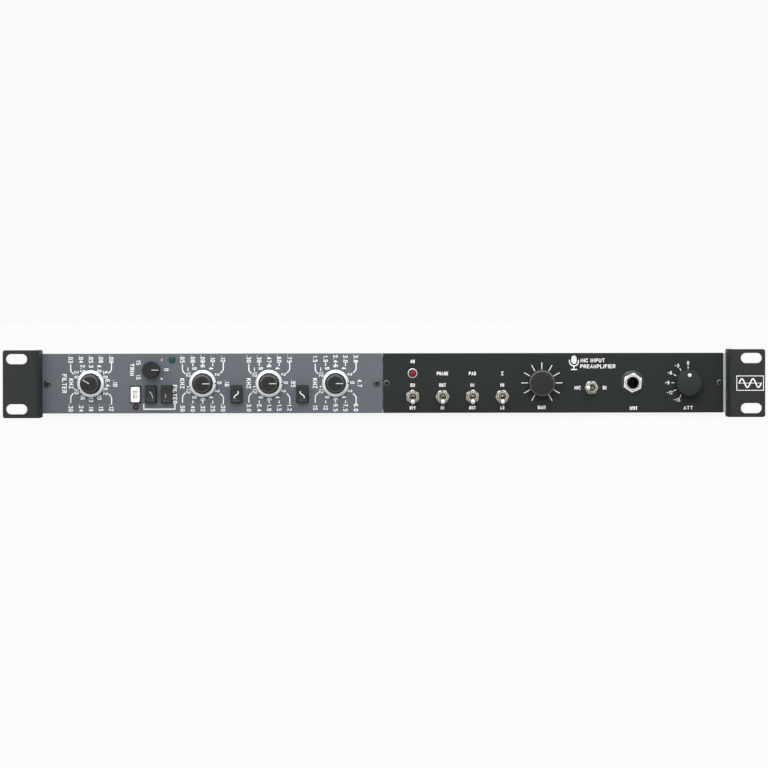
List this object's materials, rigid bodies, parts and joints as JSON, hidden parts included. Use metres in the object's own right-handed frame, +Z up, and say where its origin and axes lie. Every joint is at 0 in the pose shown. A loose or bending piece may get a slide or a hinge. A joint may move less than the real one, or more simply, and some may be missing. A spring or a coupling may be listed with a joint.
{
  "type": "microphone preamp",
  "caption": "One-rack-unit microphone preamp: a slate equaliser panel beside a black preamp panel, recessed between two black rack ears, with dials, toggles and push buttons.",
  "frame": {"origin": "middle of the width and height, on the plane where the ears' rear faces meet the rack rails", "axes": "+Z up, the front faces -Y, +X to the right seen from the front"},
  "size_m": [0.4826, 0.2268, 0.043],
  "materials": {
    "black_ear": "satin black powder coat, very fine texture",
    "slate_panel": "satin slate grey paint",
    "black_panel": "satin black anodised aluminium",
    "bare_aluminium": "clear anodised, matt",
    "brushed_aluminium": "brushed across the width, clear anodised",
    "black_screw": "black oxide",
    "steel_screw": "zinc plated",
    "circuit_board": "green solder mask",
    "brass_fitting": "plain",
    "switch_metal": "tin plated",
    "switch_body": "moulded",
    "nickel": "nickel plated, slightly warm",
    "bright_lever": "polished nickel",
    "green_lens": "unlit tinted epoxy",
    "dark_red_lens": "unlit tinted epoxy",
    "red_lens": "diffused red epoxy",
    "light_ring": "light satin anodised",
    "black_knob": "satin moulded, ribbed sides",
    "black_button": "satin moulded",
    "white_button": "satin moulded",
    "transformer_can": "drawn mu-metal can",
    "core_steel": "varnished laminations",
    "potting": "potted block",
    "copper_winding": "enamelled winding under clear tape",
    "capacitor_sleeve": "printed sleeve without print",
    "cable_jacket": "flat cable",
    "connector_black": "glass-filled nylon"
  },
  "bodies": {
    "chassis": {"chassis_tray": "bare_aluminium", "top_cover": "brushed_aluminium", "rear_panel": "black_panel", "left_rack_ear": "black_ear", "right_rack_ear": "black_ear", "ear_screws": "black_screw", "case_screws": "steel_screw", "eq_panel": "slate_panel", "preamp_panel": "black_panel", "panel_screws": "black_screw", "eq_circuit_board": "circuit_board", "preamp_circuit_board": "circuit_board", "power_supply_board": "circuit_board", "switch_board": "circuit_board", "board_standoffs": "brass_fitting", "dual_rotary_switches": "switch_metal", "trim_pot": "switch_metal", "push_switches": "switch_body", "level_controls": "switch_metal", "control_nuts": "nickel", "toggle_bodies": "nickel", "toggle_nuts": "nickel", "signal_led": "green_lens", "eq_led": "dark_red_lens", "phantom_led": "red_lens", "phantom_led_bezel": "nickel", "instrument_jack": "switch_body", "jack_nut_and_washer": "nickel", "input_transformer": "transformer_can", "output_transformer": "core_steel", "amplifier_modules": "potting", "mains_transformer": "copper_winding", "filter_capacitors": "capacitor_sleeve", "internal_wiring": "cable_jacket", "mic_input_socket": "connector_black", "line_output_plug": "connector_black", "power_entry": "connector_black"},
    "gain_knob": {"gain_knob": "black_knob"},
    "att_knob": {"att_knob": "black_knob"},
    "trim_knob": {"trim_knob": "black_knob"},
    "eq_button": {"eq_button": "white_button"},
    "mic_socket_latch": {"mic_socket_latch": "nickel"},
    "power_rocker": {"power_rocker": "connector_black"},
    "filter_ring": {"filter_ring": "light_ring"},
    "filter_knob": {"filter_knob": "black_knob"},
    "low_band_ring": {"low_band_ring": "light_ring"},
    "low_band_knob": {"low_band_knob": "black_knob"},
    "mid_band_ring": {"mid_band_ring": "light_ring"},
    "mid_band_knob": {"mid_band_knob": "black_knob"},
    "high_band_ring": {"high_band_ring": "light_ring"},
    "high_band_knob": {"high_band_knob": "black_knob"},
    "low_pass_button": {"low_pass_button": "black_button"},
    "high_pass_button": {"high_pass_button": "black_button"},
    "low_shelf_button": {"low_shelf_button": "black_button"},
    "high_shelf_button": {"high_shelf_button": "black_button"},
    "phantom_toggle": {"phantom_toggle": "bright_lever"},
    "phase_toggle": {"phase_toggle": "bright_lever"},
    "pad_toggle": {"pad_toggle": "bright_lever"},
    "impedance_toggle": {"impedance_toggle": "bright_lever"},
    "source_toggle": {"source_toggle": "bright_lever"}
  },
  "joints": [
    {"name": "filter_ring_turn", "type": "hinge", "parent": "chassis", "child": "filter_ring", "pos_m": [-0.1869, 0.017, 0], "axis": [0, 1, 0], "range_deg": [-300, 0]},
    {"name": "filter_knob_turn", "type": "hinge", "parent": "chassis", "child": "filter_knob", "pos_m": [-0.1869, 0.017, 0], "axis": [0, 1, 0], "range_deg": [0, 300]},
    {"name": "low_band_ring_turn", "type": "hinge", "parent": "chassis", "child": "low_band_ring", "pos_m": [-0.1156, 0.017, 0], "axis": [0, 1, 0], "range_deg": [-150, 150]},
    {"name": "low_band_knob_turn", "type": "hinge", "parent": "chassis", "child": "low_band_knob", "pos_m": [-0.1156, 0.017, 0], "axis": [0, 1, 0], "range_deg": [-150, 150]},
    {"name": "mid_band_ring_turn", "type": "hinge", "parent": "chassis", "child": "mid_band_ring", "pos_m": [-0.07325, 0.017, 0], "axis": [0, 1, 0], "range_deg": [-150, 150]},
    {"name": "mid_band_knob_turn", "type": "hinge", "parent": "chassis", "child": "mid_band_knob", "pos_m": [-0.07325, 0.017, 0], "axis": [0, 1, 0], "range_deg": [-150, 150]},
    {"name": "high_band_ring_turn", "type": "hinge", "parent": "chassis", "child": "high_band_ring", "pos_m": [-0.0309, 0.017, 0], "axis": [0, 1, 0], "range_deg": [-150, 150]},
    {"name": "high_band_knob_turn", "type": "hinge", "parent": "chassis", "child": "high_band_knob", "pos_m": [-0.0309, 0.017, 0], "axis": [0, 1, 0], "range_deg": [-150, 150]},
    {"name": "trim_turn", "type": "hinge", "parent": "chassis", "child": "trim_knob", "pos_m": [-0.1483, 0.017, 0.0087], "axis": [0, 1, 0], "range_deg": [-150, 150]},
    {"name": "gain_turn", "type": "hinge", "parent": "chassis", "child": "gain_knob", "pos_m": [0.1004, 0.017, 0], "axis": [0, 1, 0], "range_deg": [0, 300]},
    {"name": "att_turn", "type": "hinge", "parent": "chassis", "child": "att_knob", "pos_m": [0.194, 0.017, 0], "axis": [0, 1, 0], "range_deg": [-150, 0]},
    {"name": "eq_button_push", "type": "slide", "parent": "chassis", "child": "eq_button", "axis": [0, 1, 0], "range_m": [0, 0.0025]},
    {"name": "low_pass_button_push", "type": "slide", "parent": "chassis", "child": "low_pass_button", "axis": [0, 1, 0], "range_m": [0, 0.0025]},
    {"name": "high_pass_button_push", "type": "slide", "parent": "chassis", "child": "high_pass_button", "axis": [0, 1, 0], "range_m": [0, 0.0025]},
    {"name": "low_shelf_button_push", "type": "slide", "parent": "chassis", "child": "low_shelf_button", "axis": [0, 1, 0], "range_m": [0, 0.0025]},
    {"name": "high_shelf_button_push", "type": "slide", "parent": "chassis", "child": "high_shelf_button", "axis": [0, 1, 0], "range_m": [0, 0.0025]},
    {"name": "phantom_throw", "type": "hinge", "parent": "chassis", "child": "phantom_toggle", "pos_m": [0.0183, 0.0155, -0.0087], "axis": [-1, 0, 0], "range_deg": [0, 25]},
    {"name": "phase_throw", "type": "hinge", "parent": "chassis", "child": "phase_toggle", "pos_m": [0.03735, 0.0155, -0.0087], "axis": [-1, 0, 0], "range_deg": [0, 25]},
    {"name": "pad_throw", "type": "hinge", "parent": "chassis", "child": "pad_toggle", "pos_m": [0.0564, 0.0155, -0.0087], "axis": [-1, 0, 0], "range_deg": [0, 25]},
    {"name": "impedance_throw", "type": "hinge", "parent": "chassis", "child": "impedance_toggle", "pos_m": [0.07545, 0.0155, -0.0087], "axis": [-1, 0, 0], "range_deg": [0, 25]},
    {"name": "source_throw", "type": "hinge", "parent": "chassis", "child": "source_toggle", "pos_m": [0.1323, 0.0155, -0.003], "axis": [0, 0, 1], "range_deg": [0, 25]},
    {"name": "power_rock", "type": "hinge", "parent": "chassis", "child": "power_rocker", "pos_m": [0.147, 0.217, 0], "axis": [1, 0, 0], "range_deg": [0, 14]},
    {"name": "latch_push", "type": "slide", "parent": "chassis", "child": "mic_socket_latch", "axis": [0, -1, 0], "range_m": [0, 0.0012]}
  ]
}
